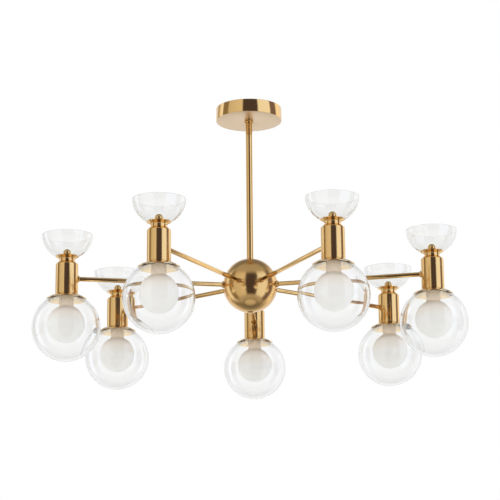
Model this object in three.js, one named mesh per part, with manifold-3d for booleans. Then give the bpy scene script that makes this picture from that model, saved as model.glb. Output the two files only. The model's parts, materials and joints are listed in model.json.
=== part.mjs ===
// Seven-arm hanging light: a ball hub on a downrod carries straight arms, and each arm ends in an
// upright lamp cup with a glass bowl standing on it and a double glass globe hanging below it.
// Millimetres, +Z up. The origin is on the ceiling plane, on the axis of the downrod.

import * as THREE from "three";
import { mergeVertices } from "three/addons/utils/BufferGeometryUtils.js";
import Module from "manifold-3d";

const wasm = await Module();
wasm.setup();

// ---------------------------------------------------------------- overall layout
const LAMP_COUNT = 7;
const ARM_REACH = 330; // downrod axis to lamp axis
const ARM_DROP = 334; // ceiling plane down to the arms' axis
const FIRST_LAMP_ANGLE = Math.PI / 2; // lamp_1 stands behind the downrod, on +Y
const GAP = 0.3; // clearance between pieces that touch
const SLIDE_GAP = 0.4; // clearance round the rod for what slides on it
const HOLE_GAP = 0.5; // clearance round a tube, stud or screw in its hole

// ---------------------------------------------------------------- ceiling end
const CANOPY_RADIUS = 60;
const CANOPY_DEPTH = 24;
const CANOPY_WALL = 1.5;
const CANOPY_EDGE = 1; // bevel where rim and underside meet
const COLLAR_WALL = 1.4;
const COLLAR_HEIGHT = 4;
const BRACKET_LENGTH = 100;
const BRACKET_WIDTH = 22;
const BRACKET_SHEET = 2;
const BRACKET_PAD = 20; // length of each end that lies on the ceiling
const BRACKET_STEP = 8; // clear height between the ceiling and the dropped middle
const SLOT_SPACING = 80;
const SLOT_LENGTH = 12;
const SLOT_WIDTH = 4.5;
const NUT_ACROSS_FLATS = 14;
const NUT_HEIGHT = 4;
const TERMINAL_SIZE = new THREE.Vector3(15, 16, 8);
const TERMINAL_OFFSET = 12; // downrod axis to the near side of the block

// ---------------------------------------------------------------- downrod
const ROD_RADIUS = 6;
const ROD_THREAD_RADIUS = 4.8; // both ends are turned down and threaded
const ROD_BORE_RADIUS = 3;
const ROD_THREAD_ABOVE = 4; // thread that stands clear above the bracket

// ---------------------------------------------------------------- hub
const HUB_RADIUS = 49;
const HUB_WALL = 1.5;
const CORE_RADIUS = 22;
const CORE_HEIGHT = 22;
const CORE_BOSS_RADIUS = 9;
const ARM_SOCKET_DEPTH = 6;
const ROD_END_ABOVE_ARMS = 7; // the rod's lower end stops over the arm sockets
const HUB_SCREW_RADIUS = 2.4;
const HUB_SCREW_HEAD_RADIUS = 6;
const HUB_SCREW_HEAD_HEIGHT = 1.6;
const HUB_SCREW_GRIP = 5; // length of screw inside the core

// ---------------------------------------------------------------- arms
const ARM_RADIUS = 4;
const ARM_BORE_RADIUS = 2.4;
const ARM_COLLAR_RADIUS = 6;
const ARM_COLLAR_LENGTH = 3;
const ARM_INTO_CUP = 2; // tube end inside the cup's wall

// ---------------------------------------------------------------- lamp cup and shade cap
const CUP_RADIUS = 20;
const CUP_WALL = 1.5;
const CUP_ABOVE_ARM = 25.5; // arm axis to the start of the shoulder
const SHOULDER_HEIGHT = 5;
const CUP_TOP_RADIUS = 14.7;
const CAP_RADIUS = 35;
const CAP_WALL = 1.2;
const CAP_TO_GLOBE = 1.2; // room for the soft washer between cap and globe
const HOLDER_HOLE_RADIUS = 14;
const GLOBE_CENTRE_DROP = 88; // arm axis down to the globe's centre

// ---------------------------------------------------------------- glass
const GLOBE_RADIUS = 60;
const GLOBE_WALL = 2;
const DIFFUSER_RADIUS = 33;
const DIFFUSER_WALL = 1.5;
const DIFFUSER_RISE = 6.5; // diffuser centre above the globe's centre
const NECK_RADIUS = 12.5;
const NECK_TO_CUP = 1.5; // neck end below the cap's crown
const BOWL_RADIUS = 45;
const BOWL_WALL = 2;
const BOWL_HOLE_RADIUS = 4.5;
const BOWL_RIM_DROP = 2; // rim below the centre of the bowl's sphere

// ---------------------------------------------------------------- saucer and ball nut
const SAUCER_FOOT_RADIUS = 12.9;
const SAUCER_RIM_RADIUS = 20.5;
const SAUCER_CENTRE = 4.3; // height of the saucer where the stud passes through it
const SAUCER_LIP = 1.2;
const SEAT_GAP = 0.5; // between saucer and bowl
const BALL_RADIUS = 7;
const FLANGE_RADIUS = 5;
const FLANGE_HEIGHT = 1.5;
const WASHER_GAP = 1; // room for the soft washer between bowl and ball nut
const STUD_RADIUS = 2.5;
const STUD_INTO_CUP = 6;

// ---------------------------------------------------------------- facets
const LAMP_FACETS = 12;
const NUT_FACETS = 8;
const ROD_FACETS = 24;
const HUB_FACETS = 2 * LAMP_COUNT; // one flat faces each arm
const HOLE_FACETS = 8;
const flatOf = (radius, facets) => radius * Math.cos(Math.PI / facets);

// ---------------------------------------------------------------- finishes
const finish = (color, roughness, metalness) =>
  new THREE.MeshStandardMaterial({ color, roughness, metalness });
const BRASS = finish(0xc9974f, 0.28, 1);
const ZINC = finish(0xb9bcc0, 0.4, 1);
const CERAMIC = finish(0xeeeae2, 0.6, 0);
const CLEAR_GLASS = new THREE.MeshStandardMaterial({
  color: 0xf4f7f6,
  roughness: 0.03,
  metalness: 0,
  transparent: true,
  opacity: 0.25,
});
const FROSTED_GLASS = finish(0xf1f0ea, 0.55, 0);

// ---------------------------------------------------------------- helpers

// Points of an arc of a sphere, from one distance off the axis to another.
// side is 1 for the half above the centre and -1 for the half below it.
const arc = (centre, radius, from, to, side, steps) => {
  const start = Math.asin(from / radius);
  const end = Math.asin(to / radius);
  return Array.from({ length: steps + 1 }, (_, i) => {
    const angle = start + ((end - start) * i) / steps;
    return [radius * Math.sin(angle), centre + side * radius * Math.cos(angle)];
  });
};

// Most of a sphere's outline, from the pole at the bottom up to a mouth at the top.
const balloon = (centre, radius, mouth, steps) => {
  const end = Math.PI - Math.asin(mouth / radius);
  return Array.from({ length: steps + 1 }, (_, i) => {
    const angle = (end * i) / steps;
    return [radius * Math.sin(angle), centre - radius * Math.cos(angle)];
  });
};

// A turned body: the outline runs up its outside and down its inside, as [radius, height] pairs.
// A flat of the turned body faces along -X.
const turned = (outline, facets) => {
  const points = outline.map(([r, z]) => new THREE.Vector2(Math.max(r, 0), z));
  const onAxis = points[0].x < 1e-6 && points.at(-1).x < 1e-6;
  if (!onAxis) points.push(points[0].clone());
  const geometry = new THREE.LatheGeometry(points, facets, Math.PI / 2 + Math.PI / facets);
  return geometry.rotateX(Math.PI / 2);
};

// A turned body on the downrod's axis that shows a flat to every arm.
const turnedHub = (outline) => turned(outline, HUB_FACETS).rotateZ(FIRST_LAMP_ANGLE - Math.PI);

const rod = (radius, from, to, facets) =>
  new THREE.CylinderGeometry(radius, radius, to - from, facets)
    .rotateX(Math.PI / 2)
    .translate(0, 0, (from + to) / 2);

// A rod that lies along a direction in the arms' plane, between two distances from the axis.
const radialRod = (radius, from, to, angle, height) =>
  new THREE.CylinderGeometry(radius, radius, to - from, HOLE_FACETS)
    .rotateZ(-Math.PI / 2)
    .translate((from + to) / 2, 0, 0)
    .rotateZ(angle)
    .translate(0, 0, height);

const block = (size, centre) =>
  new THREE.BoxGeometry(size.x, size.y, size.z).translate(centre.x, centre.y, centre.z);

const toSolid = (geometry) => {
  const bare = geometry.clone();
  bare.deleteAttribute("normal");
  bare.deleteAttribute("uv");
  const merged = mergeVertices(bare, 1e-4);
  return new wasm.Manifold(
    new wasm.Mesh({
      numProp: 3,
      vertProperties: merged.attributes.position.array,
      triVerts: new Uint32Array(merged.index.array),
    }),
  );
};

const toGeometry = (solid) => {
  const mesh = solid.getMesh();
  const geometry = new THREE.BufferGeometry();
  geometry.setAttribute("position", new THREE.BufferAttribute(mesh.vertProperties, 3));
  geometry.setIndex(new THREE.BufferAttribute(mesh.triVerts, 1));
  geometry.computeVertexNormals();
  return geometry;
};

// One geometry with others cut out of it.
const cut = (geometry, ...tools) =>
  toGeometry(tools.reduce((solid, tool) => solid.subtract(toSolid(tool)), toSolid(geometry)));

const piece = (name, geometry, material) => {
  const mesh = new THREE.Mesh(geometry, material);
  mesh.name = name;
  return mesh;
};

const lampAngle = (index) => FIRST_LAMP_ANGLE + (index * 2 * Math.PI) / LAMP_COUNT;
const lampAngles = Array.from({ length: LAMP_COUNT }, (_, index) => lampAngle(index));

// ---------------------------------------------------------------- levels along the downrod
const stripTop = -BRACKET_STEP;
const stripUnderside = stripTop - BRACKET_SHEET;
const lowerNutUnderside = stripUnderside - GAP - NUT_HEIGHT;
const canopyFloor = -CANOPY_DEPTH + CANOPY_WALL;
const armAxis = -ARM_DROP;
const shellHoleRadius = ROD_THREAD_RADIUS + HOLE_GAP;
const hubInner = HUB_RADIUS - HUB_WALL;
const sphereHeight = (radius, offAxis) => Math.sqrt(radius * radius - offAxis * offAxis);
const rodShoulder = armAxis + HUB_RADIUS + GAP;

// ---------------------------------------------------------------- ceiling end

// Hat-shaped strap: two pads on the ceiling, and a dropped middle that the downrod hangs from.
const ceilingBracket = () => {
  const half = BRACKET_LENGTH / 2;
  const padEnd = half - BRACKET_PAD;
  const drop = stripUnderside;
  const outline = new THREE.Shape([
    new THREE.Vector2(-half, -BRACKET_SHEET),
    new THREE.Vector2(-padEnd - BRACKET_SHEET, -BRACKET_SHEET),
    new THREE.Vector2(-padEnd - BRACKET_SHEET, drop),
    new THREE.Vector2(padEnd + BRACKET_SHEET, drop),
    new THREE.Vector2(padEnd + BRACKET_SHEET, -BRACKET_SHEET),
    new THREE.Vector2(half, -BRACKET_SHEET),
    new THREE.Vector2(half, 0),
    new THREE.Vector2(padEnd, 0),
    new THREE.Vector2(padEnd, stripTop),
    new THREE.Vector2(-padEnd, stripTop),
    new THREE.Vector2(-padEnd, 0),
    new THREE.Vector2(-half, 0),
  ]);
  const strap = new THREE.ExtrudeGeometry(outline, { depth: BRACKET_WIDTH, bevelEnabled: false })
    .translate(0, 0, -BRACKET_WIDTH / 2)
    .rotateX(Math.PI / 2);
  const slot = new THREE.Vector3(SLOT_LENGTH, SLOT_WIDTH, 3 * BRACKET_SHEET);
  const slots = [-1, 1].map((side) => block(slot, new THREE.Vector3((side * SLOT_SPACING) / 2, 0, 0)));
  const hole = rod(shellHoleRadius, drop - 1, stripTop + 1, LAMP_FACETS);
  return piece("ceiling_bracket", cut(strap, hole, ...slots), ZINC);
};

const rodNut = (name, underside) => {
  const across = NUT_ACROSS_FLATS / Math.sqrt(3);
  const hexagon = rod(across, underside, underside + NUT_HEIGHT, 6);
  const bore = rod(shellHoleRadius, underside - 1, underside + NUT_HEIGHT + 1, LAMP_FACETS);
  return piece(name, cut(hexagon, bore), ZINC);
};

const terminalBlock = () => {
  const centre = new THREE.Vector3(
    TERMINAL_OFFSET + TERMINAL_SIZE.x / 2,
    0,
    stripUnderside - GAP - TERMINAL_SIZE.z / 2,
  );
  return piece("terminal_block", block(TERMINAL_SIZE, centre), CERAMIC);
};

const canopyCover = () => {
  const inner = CANOPY_RADIUS - CANOPY_WALL;
  const hole = ROD_RADIUS + SLIDE_GAP;
  const outline = [
    [hole, -CANOPY_DEPTH],
    [CANOPY_RADIUS - CANOPY_EDGE, -CANOPY_DEPTH],
    [CANOPY_RADIUS, -CANOPY_DEPTH + CANOPY_EDGE],
    [CANOPY_RADIUS, -GAP],
    [inner, -GAP],
    [inner, canopyFloor],
    [hole, canopyFloor],
  ];
  return piece("canopy_cover", turned(outline, ROD_FACETS), BRASS);
};

const canopyCollar = () => {
  const inner = ROD_RADIUS + SLIDE_GAP;
  const outer = inner + COLLAR_WALL;
  const top = -CANOPY_DEPTH - GAP;
  const outline = [
    [inner, top - COLLAR_HEIGHT],
    [outer, top - COLLAR_HEIGHT],
    [outer, top],
    [inner, top],
  ];
  return piece("canopy_collar", turned(outline, ROD_FACETS), BRASS);
};

const downrod = () => {
  const upperShoulder = lowerNutUnderside - GAP;
  const outline = [
    [ROD_BORE_RADIUS, armAxis + ROD_END_ABOVE_ARMS],
    [ROD_THREAD_RADIUS, armAxis + ROD_END_ABOVE_ARMS],
    [ROD_THREAD_RADIUS, rodShoulder],
    [ROD_RADIUS, rodShoulder],
    [ROD_RADIUS, upperShoulder],
    [ROD_THREAD_RADIUS, upperShoulder],
    [ROD_THREAD_RADIUS, stripTop + ROD_THREAD_ABOVE + GAP],
    [ROD_BORE_RADIUS, stripTop + ROD_THREAD_ABOVE + GAP],
  ];
  return piece("downrod", turned(outline, ROD_FACETS), BRASS);
};

// ---------------------------------------------------------------- hub

const armHoles = (radius) =>
  lampAngles.map((angle) => radialRod(radius, CORE_RADIUS, HUB_RADIUS + 1, angle, armAxis));

// Half of the ball. side is 1 for the upper shell, which the rod passes through, and -1 for the
// lower one, which the hub screw holds up.
const hubShell = (name, side, poleHole) => {
  const edge = GAP / 2;
  const rim = (radius) => Math.sqrt(radius * radius - edge * edge);
  const outside = arc(armAxis, HUB_RADIUS, rim(HUB_RADIUS), poleHole, side, 5);
  const inside = arc(armAxis, hubInner, poleHole, rim(hubInner), side, 5);
  const loop = [...outside, ...inside];
  const shell = turnedHub(side > 0 ? loop : loop.reverse());
  return piece(name, cut(shell, ...armHoles(ARM_RADIUS + HOLE_GAP)), BRASS);
};

// Block that the arms and the downrod screw into. Its boss bears on the inside of the upper shell.
const hubCore = () => {
  const bore = ROD_THREAD_RADIUS + HOLE_GAP;
  const lowerBore = HUB_SCREW_RADIUS + HOLE_GAP;
  const boreStep = armAxis + ROD_END_ABOVE_ARMS - GAP;
  const bossTop = armAxis + sphereHeight(hubInner, CORE_BOSS_RADIUS) - 2 * GAP;
  const outline = [
    [lowerBore, armAxis - CORE_HEIGHT / 2],
    [CORE_RADIUS, armAxis - CORE_HEIGHT / 2],
    [CORE_RADIUS, armAxis + CORE_HEIGHT / 2],
    [CORE_BOSS_RADIUS, armAxis + CORE_HEIGHT / 2],
    [CORE_BOSS_RADIUS, bossTop],
    [bore, bossTop],
    [bore, boreStep],
    [lowerBore, boreStep],
  ];
  const bottom = CORE_RADIUS - ARM_SOCKET_DEPTH;
  const sockets = lampAngles.map((angle) =>
    radialRod(ARM_RADIUS + HOLE_GAP, bottom, CORE_RADIUS + 1, angle, armAxis),
  );
  const leadways = lampAngles.map((angle) =>
    radialRod(ARM_BORE_RADIUS, lowerBore - 1, bottom + 1, angle, armAxis),
  );
  return piece("hub_core", cut(turnedHub(outline), ...sockets, ...leadways), BRASS);
};

const hubScrew = () => {
  const underHead = armAxis - HUB_RADIUS - GAP;
  const outline = [
    [0, underHead - HUB_SCREW_HEAD_HEIGHT],
    [HUB_SCREW_HEAD_RADIUS * 0.6, underHead - HUB_SCREW_HEAD_HEIGHT],
    [HUB_SCREW_HEAD_RADIUS, underHead],
    [HUB_SCREW_RADIUS, underHead],
    [HUB_SCREW_RADIUS, armAxis - CORE_HEIGHT / 2 + HUB_SCREW_GRIP],
    [0, armAxis - CORE_HEIGHT / 2 + HUB_SCREW_GRIP],
  ];
  return piece("hub_screw", turned(outline, LAMP_FACETS), BRASS);
};

// ---------------------------------------------------------------- one lamp
// Each lamp is built about its own axis: z = 0 is the arm's axis and the hub lies along -X.

const cupTop = CUP_ABOVE_ARM + SHOULDER_HEIGHT;
const globeCentre = -GLOBE_CENTRE_DROP;
const capInner = GLOBE_RADIUS + CAP_TO_GLOBE;
const capOuter = capInner + CAP_WALL;
const capCrown = globeCentre + sphereHeight(capInner, HOLDER_HOLE_RADIUS);
const saucerFoot = cupTop + GAP;
const bowlCentre = saucerFoot + SAUCER_CENTRE + SEAT_GAP + BOWL_RADIUS;
const bowlInner = BOWL_RADIUS - BOWL_WALL;

// A tube with a ring at each end: one bears on the hub, the other on the cup.
const arm = (number) => {
  const start = CORE_RADIUS - ARM_SOCKET_DEPTH + GAP;
  const hubFace = flatOf(HUB_RADIUS, HUB_FACETS) + GAP;
  const cupFace = ARM_REACH - flatOf(CUP_RADIUS, LAMP_FACETS) - GAP;
  const end = ARM_REACH - flatOf(CUP_RADIUS - CUP_WALL, LAMP_FACETS) + ARM_INTO_CUP;
  const outline = [
    [ARM_BORE_RADIUS, start],
    [ARM_RADIUS, start],
    [ARM_RADIUS, hubFace],
    [ARM_COLLAR_RADIUS, hubFace],
    [ARM_COLLAR_RADIUS, hubFace + ARM_COLLAR_LENGTH],
    [ARM_RADIUS, hubFace + ARM_COLLAR_LENGTH],
    [ARM_RADIUS, cupFace - ARM_COLLAR_LENGTH],
    [ARM_COLLAR_RADIUS, cupFace - ARM_COLLAR_LENGTH],
    [ARM_COLLAR_RADIUS, cupFace],
    [ARM_RADIUS, cupFace],
    [ARM_RADIUS, end],
    [ARM_BORE_RADIUS, end],
  ];
  const tube = turned(outline, NUT_FACETS).rotateY(Math.PI / 2).translate(-ARM_REACH, 0, 0);
  return piece(`arm_${number}`, tube, BRASS);
};

// Hollow turned cup with the domed shade cap staked to its lower edge.
const lampCup = (number) => {
  const inner = CUP_RADIUS - CUP_WALL;
  const studHole = STUD_RADIUS + HOLE_GAP;
  const topInner = cupTop - CUP_WALL;
  const floorInner = globeCentre + sphereHeight(capOuter, HOLDER_HOLE_RADIUS) + CUP_WALL;
  const outline = [
    ...arc(globeCentre, capInner, HOLDER_HOLE_RADIUS, CAP_RADIUS, 1, 3),
    ...arc(globeCentre, capOuter, CAP_RADIUS, CUP_RADIUS, 1, 2),
    [CUP_RADIUS, CUP_ABOVE_ARM],
    [CUP_TOP_RADIUS, cupTop],
    [studHole, cupTop],
    [studHole, topInner],
    [CUP_TOP_RADIUS - CUP_WALL / 2, topInner],
    [inner, CUP_ABOVE_ARM - CUP_WALL / 2],
    [inner, floorInner],
    [HOLDER_HOLE_RADIUS, floorInner],
  ];
  const armHole = radialRod(ARM_RADIUS + HOLE_GAP, 0, CUP_RADIUS + 1, Math.PI, 0);
  return piece(`lamp_cup_${number}`, cut(turned(outline, LAMP_FACETS), armHole), BRASS);
};

const saucer = (number) => {
  const studHole = STUD_RADIUS + HOLE_GAP;
  const seat = arc(bowlCentre, BOWL_RADIUS + SEAT_GAP, SAUCER_RIM_RADIUS, studHole, -1, 3);
  const rimTop = seat[0][1];
  const foot = [
    [studHole, saucerFoot],
    [SAUCER_FOOT_RADIUS, saucerFoot],
    [(SAUCER_FOOT_RADIUS + SAUCER_RIM_RADIUS) / 2, (saucerFoot + rimTop) / 2 + SAUCER_LIP / 2],
    [SAUCER_RIM_RADIUS, rimTop - SAUCER_LIP],
  ];
  return piece(`saucer_${number}`, turned([...foot, ...seat], LAMP_FACETS), BRASS);
};

const glassBowl = (number) => {
  const outerRim = sphereHeight(BOWL_RADIUS, BOWL_RIM_DROP);
  const innerRim = sphereHeight(bowlInner, BOWL_RIM_DROP);
  const outside = arc(bowlCentre, BOWL_RADIUS, BOWL_HOLE_RADIUS, outerRim, -1, 5);
  const inside = arc(bowlCentre, bowlInner, innerRim, BOWL_HOLE_RADIUS, -1, 5);
  return piece(`glass_bowl_${number}`, turned([...outside, ...inside], LAMP_FACETS), CLEAR_GLASS);
};

// Ball-shaped nut and its stud, which clamp the bowl on the saucer.
const ballNut = (number) => {
  const flangeFoot = bowlCentre - sphereHeight(bowlInner, FLANGE_RADIUS) + WASHER_GAP;
  const flangeTop = flangeFoot + FLANGE_HEIGHT;
  const neck = FLANGE_RADIUS / 2;
  const ballCentre = flangeTop + sphereHeight(BALL_RADIUS, neck);
  const outline = [
    [0, cupTop - STUD_INTO_CUP],
    [STUD_RADIUS, cupTop - STUD_INTO_CUP],
    [STUD_RADIUS, flangeFoot],
    [FLANGE_RADIUS, flangeFoot],
    [FLANGE_RADIUS, flangeTop],
    ...arc(ballCentre, BALL_RADIUS, neck, BALL_RADIUS, -1, 2),
    ...arc(ballCentre, BALL_RADIUS, BALL_RADIUS, 0, 1, 3).slice(1),
  ];
  return piece(`ball_nut_${number}`, turned(outline, NUT_FACETS), BRASS);
};

const glassGlobe = (number) => {
  const mouth = NECK_RADIUS + GAP;
  const outside = balloon(globeCentre, GLOBE_RADIUS, mouth, 7);
  const inside = balloon(globeCentre, GLOBE_RADIUS - GLOBE_WALL, mouth, 7).reverse();
  return piece(`glass_globe_${number}`, turned([...outside, ...inside], LAMP_FACETS), CLEAR_GLASS);
};

const frostedDiffuser = (number) => {
  const centre = globeCentre + DIFFUSER_RISE;
  const bore = NECK_RADIUS - DIFFUSER_WALL;
  const neckTop = capCrown - NECK_TO_CUP;
  const outline = [
    ...balloon(centre, DIFFUSER_RADIUS, NECK_RADIUS, 5),
    [NECK_RADIUS, neckTop],
    [bore, neckTop],
    ...balloon(centre, DIFFUSER_RADIUS - DIFFUSER_WALL, bore, 5).reverse(),
  ];
  return piece(`frosted_diffuser_${number}`, turned(outline, LAMP_FACETS), FROSTED_GLASS);
};

const lamp = (angle, index) => {
  const number = index + 1;
  const group = new THREE.Group();
  group.position.set(ARM_REACH * Math.cos(angle), ARM_REACH * Math.sin(angle), armAxis);
  group.rotation.z = angle;
  group.add(arm(number), lampCup(number), saucer(number), glassBowl(number));
  group.add(ballNut(number), glassGlobe(number), frostedDiffuser(number));
  return group;
};

// ---------------------------------------------------------------- assembly

const light = new THREE.Group();
light.add(
  ceilingBracket(),
  rodNut("rod_nut_upper", stripTop + GAP),
  rodNut("rod_nut_lower", lowerNutUnderside),
  terminalBlock(),
  canopyCover(),
  canopyCollar(),
  downrod(),
  hubShell("hub_upper_shell", 1, shellHoleRadius),
  hubShell("hub_lower_shell", -1, HUB_SCREW_RADIUS + HOLE_GAP),
  hubCore(),
  hubScrew(),
  ...lampAngles.map(lamp),
);

export default light;
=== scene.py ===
"""Looks of the seven-arm hanging light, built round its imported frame.

Everything is in metres with +Z up, in the frame's own axes. The origin is on the ceiling plane, on the
axis of the downrod. Pieces of a lamp are modelled once about the lamp's own axis, with the arm's axis
at height 0 and the hub along -X, and are then copied to each of the seven places.
"""

import json
import logging
import math
from collections.abc import Callable
from dataclasses import dataclass
from enum import Enum

import bmesh
import bpy
from mathutils import Matrix, Vector


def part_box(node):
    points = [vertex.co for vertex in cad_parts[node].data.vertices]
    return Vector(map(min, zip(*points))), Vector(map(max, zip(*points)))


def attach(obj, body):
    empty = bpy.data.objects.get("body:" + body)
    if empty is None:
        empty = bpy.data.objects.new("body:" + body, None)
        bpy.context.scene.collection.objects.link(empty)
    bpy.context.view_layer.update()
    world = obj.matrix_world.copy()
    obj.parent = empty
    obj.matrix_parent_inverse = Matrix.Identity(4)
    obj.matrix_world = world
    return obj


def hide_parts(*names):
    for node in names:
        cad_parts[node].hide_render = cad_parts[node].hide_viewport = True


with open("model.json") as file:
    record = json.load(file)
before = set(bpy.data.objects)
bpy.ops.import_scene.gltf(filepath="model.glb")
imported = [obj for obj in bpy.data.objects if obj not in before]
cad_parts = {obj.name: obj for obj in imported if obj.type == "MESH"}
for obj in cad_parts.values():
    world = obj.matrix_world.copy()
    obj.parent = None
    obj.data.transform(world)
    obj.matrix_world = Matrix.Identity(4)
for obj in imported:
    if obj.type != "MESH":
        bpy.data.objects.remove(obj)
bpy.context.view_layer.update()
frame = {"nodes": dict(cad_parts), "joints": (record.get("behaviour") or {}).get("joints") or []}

LOG = logging.getLogger("hanging_light")
MM = 0.001
SAME = 2e-7

Point = tuple[float, float]
Outline = list[Point]
Color = tuple[float, float, float]
Test = Callable[..., bool]
Piece = bpy.types.Object
Socket = bpy.types.NodeSocket
Setting = float | str | bool | tuple | dict | Piece


class Body(Enum):
    """Rigid bodies of the frame that pieces ride on."""

    FIXTURE = "fixture"
    CANOPY = "canopy"
    SHADE = "shade"
    FINIAL = "finial"

    def of(self, number: int) -> str:
        """Name of this body at one lamp.

        Args:
            number: the lamp's number, from 1.

        Returns:
            The body's name in the frame.
        """
        return self.value if self in (Body.FIXTURE, Body.CANOPY) else f"{self.value}_{number}"


# --- outlines


def arc(centre: float, radius: float, start: float, end: float, steps: int) -> Outline:
    """Points of a sphere's outline.

    Args:
        centre: height of the sphere's centre.
        radius: radius of the sphere.
        start: first angle in degrees, from the lower pole at 0 to the upper pole at 180.
        end: last angle in degrees.
        steps: number of stretches.

    Returns:
        The points as (distance from the axis, height).
    """
    points = []
    for step in range(steps + 1):
        angle = math.radians(start + (end - start) * step / steps)
        points.append((max(radius * math.sin(angle), 0.0), centre - radius * math.cos(angle)))
    return points


def angle_at(radius: float, off_axis: float, upper: bool) -> float:
    """Angle from the lower pole, in degrees, where a sphere is a given distance off the axis.

    Args:
        radius: radius of the sphere.
        off_axis: distance from the axis.
        upper: whether the place is on the upper half.

    Returns:
        The angle in degrees.
    """
    angle = math.degrees(math.asin(off_axis / radius))
    return 180.0 - angle if upper else angle


def ease(start: Point, corner: Point, end: Point, steps: int) -> Outline:
    """A rounded corner.

    Args:
        start: where the curve leaves the first line.
        corner: where the two lines would meet.
        end: where the curve joins the second line.
        steps: number of stretches.

    Returns:
        The points of the curve, both ends included.
    """
    points = []
    for step in range(steps + 1):
        t = step / steps
        weights = ((1 - t) ** 2, 2 * t * (1 - t), t * t)
        points.append(tuple(
            weights[0] * a + weights[1] * b + weights[2] * c for a, b, c in zip(start, corner, end)
        ))
    return points


def up(height: float) -> Vector:
    """The place at a height on the Z axis."""
    return Vector((0, 0, height))


def dome_height(centre: float, radius: float, off_axis: float) -> float:
    """Height of a sphere's upper half at a distance from the axis."""
    return centre + math.sqrt(radius**2 - off_axis**2)


# --- modelling by operators


def deselect() -> None:
    """Leaves edit mode and deselects every object."""
    if bpy.context.object and bpy.context.object.mode != "OBJECT":
        bpy.ops.object.mode_set(mode="OBJECT")
    bpy.ops.object.select_all(action="DESELECT")


def activate(piece: Piece) -> None:
    """Makes one object the only selected and active one.

    Args:
        piece: the object.
    """
    deselect()
    piece.select_set(True)
    bpy.context.view_layer.objects.active = piece


def select_where(piece: Piece, test: Test, mode: str = "VERT") -> None:
    """Selects vertices or faces of a piece that is in edit mode.

    Args:
        piece: the piece.
        test: takes a vertex's place, or a face's centre and normal, and says whether to select it.
        mode: VERT or FACE.
    """
    bpy.ops.mesh.select_mode(type=mode)
    bpy.ops.mesh.select_all(action="DESELECT")
    mesh = bmesh.from_edit_mesh(piece.data)
    if mode == "VERT":
        for vertex in mesh.verts:
            vertex.select_set(test(vertex.co))
    else:
        for face in mesh.faces:
            if test(face.calc_center_median(), face.normal):
                face.select_set(True)
    mesh.select_flush_mode()
    bmesh.update_edit_mesh(piece.data)


def on_ring(point: Point) -> Test:
    """A test for the vertices of one ring of a turned piece."""
    return lambda co: max(abs(co.z - point[1]), abs(math.hypot(co.x, co.y) - point[0])) < SAME


def turn(name: str, outline: Outline, facets: int) -> Piece:
    """Turns an outline about the Z axis, ring by ring.

    Args:
        name: the new piece's name.
        outline: points as (distance from the axis, height), up the outside and down the inside. It
            starts and ends on the axis, or is closed from its last point to its first.
        facets: number of sides.

    Returns:
        The closed piece, still at its own place in its mesh.
    """
    deselect()
    on_axis = outline[0][0] < SAME
    rings = outline[1:-1] if on_axis else outline
    radius, height = rings[0]
    bpy.ops.mesh.primitive_circle_add(vertices=facets, radius=radius, fill_type="NOTHING")
    piece = bpy.context.object
    piece.name = piece.data.name = name
    bpy.ops.object.mode_set(mode="EDIT")
    bpy.ops.mesh.select_mode(type="VERT")
    bpy.ops.mesh.select_all(action="SELECT")
    bpy.ops.transform.translate(value=(0, 0, height))
    for next_radius, next_height in rings[1:]:
        bpy.ops.mesh.extrude_region_move(
            TRANSFORM_OT_translate={"value": (0, 0, next_height - height)})
        scale = next_radius / radius
        bpy.ops.transform.resize(value=(scale, scale, 1), center_override=(0, 0, next_height))
        radius, height = next_radius, next_height
    if on_axis:
        bpy.ops.mesh.extrude_region_move(
            TRANSFORM_OT_translate={"value": (0, 0, outline[-1][1] - height)})
        bpy.ops.mesh.merge(type="CENTER")
        select_where(piece, on_ring(rings[0]))
        bpy.ops.mesh.extrude_region_move(
            TRANSFORM_OT_translate={"value": (0, 0, outline[0][1] - rings[0][1])})
        bpy.ops.mesh.merge(type="CENTER")
    else:
        first, last = on_ring(rings[0]), on_ring(rings[-1])
        select_where(piece, lambda co: first(co) or last(co))
        bpy.ops.mesh.bridge_edge_loops()
    bpy.ops.mesh.select_all(action="SELECT")
    bpy.ops.mesh.normals_make_consistent(inside=False)
    bpy.ops.object.mode_set(mode="OBJECT")
    return piece


def tube(name: str, radii: Point, ends: Point, facets: int) -> Piece:
    """Turns a plain tube about the Z axis.

    Args:
        name: the new piece's name.
        radii: its inner and outer radius.
        ends: its lower and upper height.
        facets: number of sides.

    Returns:
        The tube.
    """
    inner, outer = radii
    low, high = ends
    return turn(name, [(inner, low), (outer, low), (outer, high), (inner, high)], facets)


def apply_modifier(piece: Piece, kind: str, **settings: Setting) -> None:
    """Adds a modifier with its settings and applies it.

    Args:
        piece: the piece.
        kind: the modifier's type.
        **settings: its properties.
    """
    activate(piece)
    modifier = piece.modifiers.new(kind.title(), kind)
    for key, value in settings.items():
        setattr(modifier, key, value)
    bpy.ops.object.modifier_apply(modifier=modifier.name)


def soften(piece: Piece, width: float, segments: int = 3, angle: float = 32.0) -> None:
    """Rounds a piece's sharp edges and shades it smooth.

    Args:
        piece: the piece.
        width: width of the rounding.
        segments: steps across it.
        angle: edges sharper than this are rounded, in degrees.
    """
    apply_modifier(piece, "BEVEL", width=width, segments=segments, limit_method="ANGLE",
                   angle_limit=math.radians(angle), harden_normals=False)
    smooth(piece, angle)


def smooth(piece: Piece, angle: float = 32.0) -> None:
    """Shades a piece smooth but for its sharp edges."""
    activate(piece)
    bpy.ops.object.shade_smooth_by_angle(angle=math.radians(angle))


def drill(piece: Piece, cutter: Piece) -> None:
    """Cuts one object's shape out of a piece and removes the cutter."""
    apply_modifier(piece, "BOOLEAN", object=cutter, operation="DIFFERENCE", solver="EXACT")
    bpy.data.objects.remove(cutter)


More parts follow.
